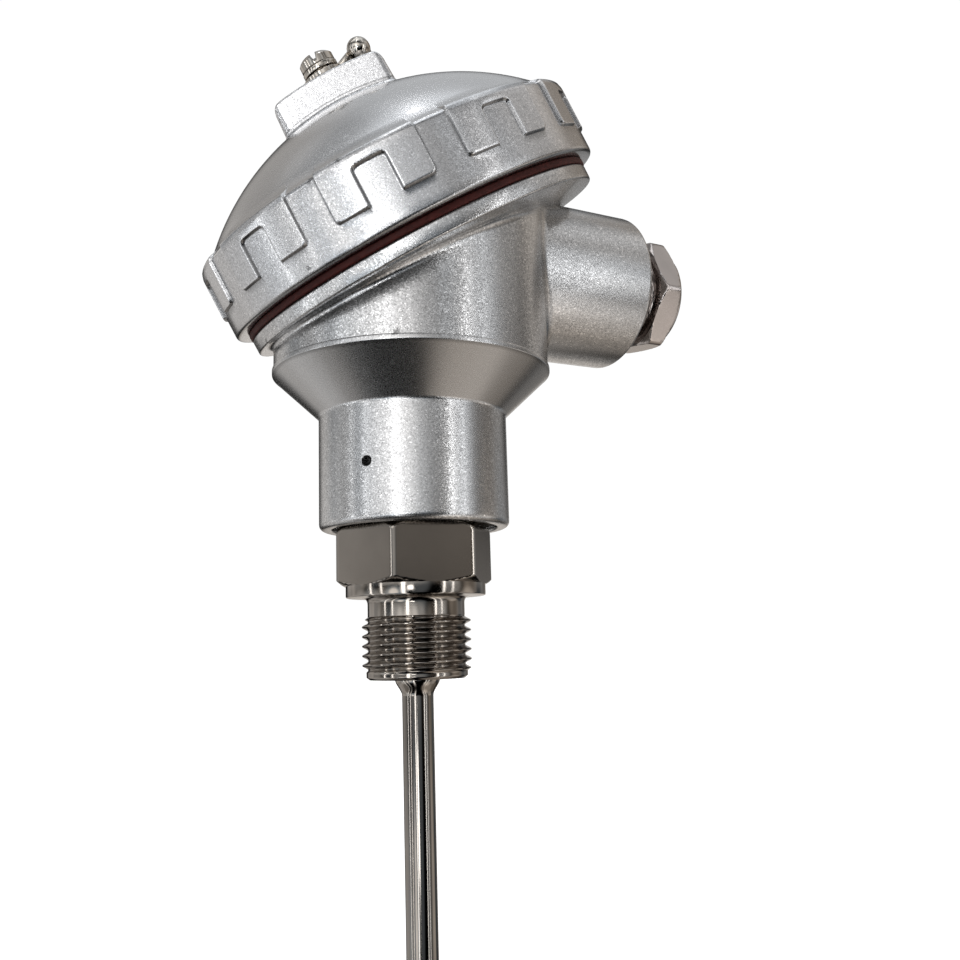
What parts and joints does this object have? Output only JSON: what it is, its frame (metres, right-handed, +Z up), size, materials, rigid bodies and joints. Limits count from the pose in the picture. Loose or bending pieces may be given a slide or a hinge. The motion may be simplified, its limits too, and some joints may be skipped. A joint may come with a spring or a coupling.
{
  "type": "rtd probe with head",
  "caption": "Resistance thermometer with a cast connection head, slanted screw cap on a chain, side cable gland, threaded process fitting and slim round probe.",
  "frame": {"origin": "centre of the fitting's collar underside, the seat that the insertion length is measured from", "axes": "+Z up along the probe axis towards the head, +X out of the cable entry, the cap leans 30 degrees towards -X"},
  "size_m": [0.1022, 0.0873, 0.2152],
  "materials": {
    "cast_silver": "silver metallic flake paint, satin",
    "cast_silver_cap": "silver metallic flake paint, satin",
    "silicone": "dark red-brown silicone",
    "nickel": "bright nickel plate",
    "plated_nut": "bright nickel plate",
    "stainless": "fine turned",
    "stainless_tube": "drawn, polished",
    "black_rubber": "matte",
    "fibre_seal": "matte",
    "ceramic": "matte white",
    "wire_sleeve": "matte",
    "brass": "turned"
  },
  "bodies": {
    "head": {"head_housing": "cast_silver", "process_fitting": "stainless", "fitting_seal": "fibre_seal", "probe_sheath": "stainless_tube", "sensing_element": "ceramic", "wire_insulator": "ceramic", "lead_wires": "wire_sleeve", "terminal_block": "ceramic", "terminal_plate_1": "brass", "terminal_plate_2": "brass", "terminal_plate_3": "brass", "terminal_screw_1": "brass", "terminal_screw_2": "brass", "terminal_screw_3": "brass", "terminal_screw_4": "brass", "terminal_screw_5": "brass", "terminal_screw_6": "brass", "block_screw_1": "nickel", "block_screw_2": "nickel", "cap_gasket": "silicone", "housing_chain_screw": "nickel", "housing_chain_eyelet": "nickel", "gland_seal": "black_rubber"},
    "cap_swivel": {"cap_chain_eyelet": "nickel", "retaining_chain": "nickel"},
    "cap": {"screw_cap": "cast_silver_cap", "cap_chain_screw": "nickel", "cap_spring_washer": "nickel"},
    "gland_ring": {"gland_washer": "stainless"},
    "gland_screw": {"gland_nut": "plated_nut"}
  },
  "joints": [
    {"name": "cap_rise", "type": "slide", "parent": "head", "child": "cap_swivel", "axis": [-0.5, 0, 0.866], "range_m": [0, 0.007]},
    {"name": "cap_turn", "type": "hinge", "parent": "cap_swivel", "child": "cap", "pos_m": [0.0035, 0, 0.0665], "axis": [-0.5, 0, 0.866], "range_deg": [0, 1260]},
    {"name": "gland_feed", "type": "slide", "parent": "head", "child": "gland_ring", "axis": [1, 0, 0], "range_m": [0, 0.0045]},
    {"name": "gland_turn", "type": "hinge", "parent": "gland_ring", "child": "gland_screw", "pos_m": [0.0528, 0, 0.068], "axis": [1, 0, 0], "range_deg": [0, 1080]}
  ],
  "couplings": [
    {"joint": "cap_rise", "follows": "cap_turn", "m_per_rad": 0.0003183},
    {"joint": "gland_feed", "follows": "gland_turn", "m_per_rad": 0.00023873}
  ]
}
